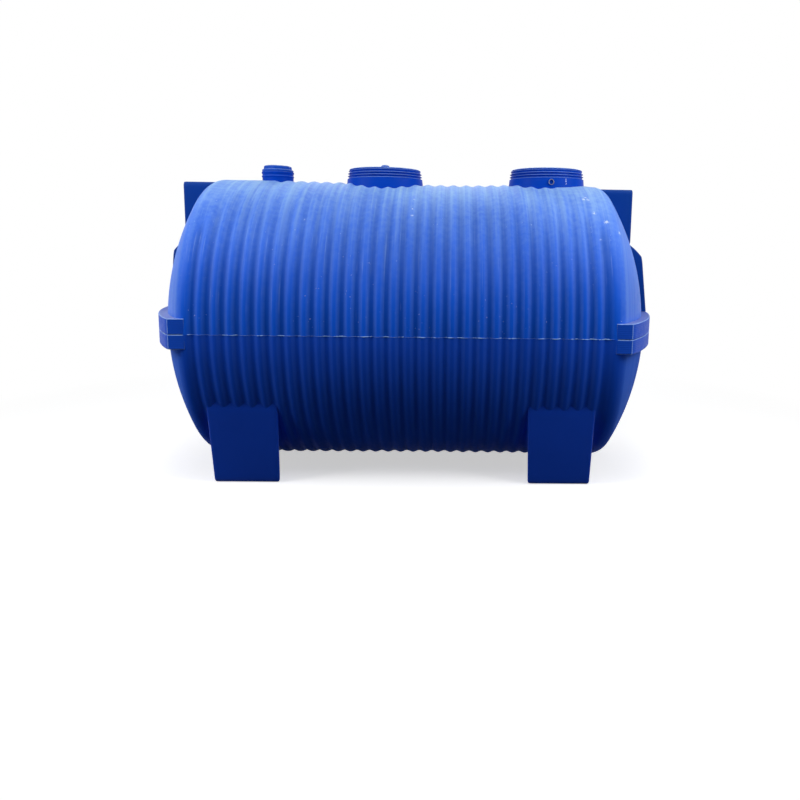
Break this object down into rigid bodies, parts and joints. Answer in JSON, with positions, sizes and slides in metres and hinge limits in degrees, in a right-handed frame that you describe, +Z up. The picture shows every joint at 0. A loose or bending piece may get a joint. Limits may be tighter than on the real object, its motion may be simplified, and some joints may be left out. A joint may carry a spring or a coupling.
{
  "type": "septic tank",
  "caption": "Horizontal ribbed plastic septic tank with dished ends, moulded feet, threaded manhole necks with lids, a small capped neck, and inlet and outlet boxes with pipe seals.",
  "frame": {"origin": "on the ground, under the middle of the tank", "axes": "+X along the tank from the inlet end to the outlet end, +Y across it away from the breather, +Z up"},
  "size_m": [2.044, 1.166, 1.263],
  "materials": {
    "shell_blue": "satin moulded polyethylene, dusty on top",
    "belt_blue": "satin moulded polyethylene, dusty on its ledge",
    "foot_blue": "satin moulded polyethylene",
    "neck_blue": "smooth moulded polyethylene",
    "lid_blue": "smooth moulded polyethylene",
    "seal_rubber": "matt black rubber",
    "breather_metal": "weathered steel"
  },
  "bodies": {
    "root": {"lower_barrel": "shell_blue", "left_lower_end": "shell_blue", "left_lower_belt": "belt_blue", "right_lower_end": "shell_blue", "right_lower_belt": "belt_blue", "upper_barrel": "shell_blue", "left_upper_end": "shell_blue", "left_upper_belt": "belt_blue", "right_upper_end": "shell_blue", "right_upper_belt": "belt_blue", "front_left_foot": "foot_blue", "front_right_foot": "foot_blue", "rear_left_foot": "foot_blue", "rear_right_foot": "foot_blue", "inlet_box": "belt_blue", "outlet_box": "belt_blue", "left_end_rib": "belt_blue", "right_end_rib": "belt_blue", "inlet_seal": "seal_rubber", "outlet_seal": "seal_rubber", "middle_neck": "neck_blue", "right_neck": "neck_blue", "small_neck": "neck_blue", "middle_lid": "lid_blue", "right_lid": "lid_blue", "middle_knob": "lid_blue", "small_cap": "lid_blue", "breather": "breather_metal"}
  },
  "joints": []
}
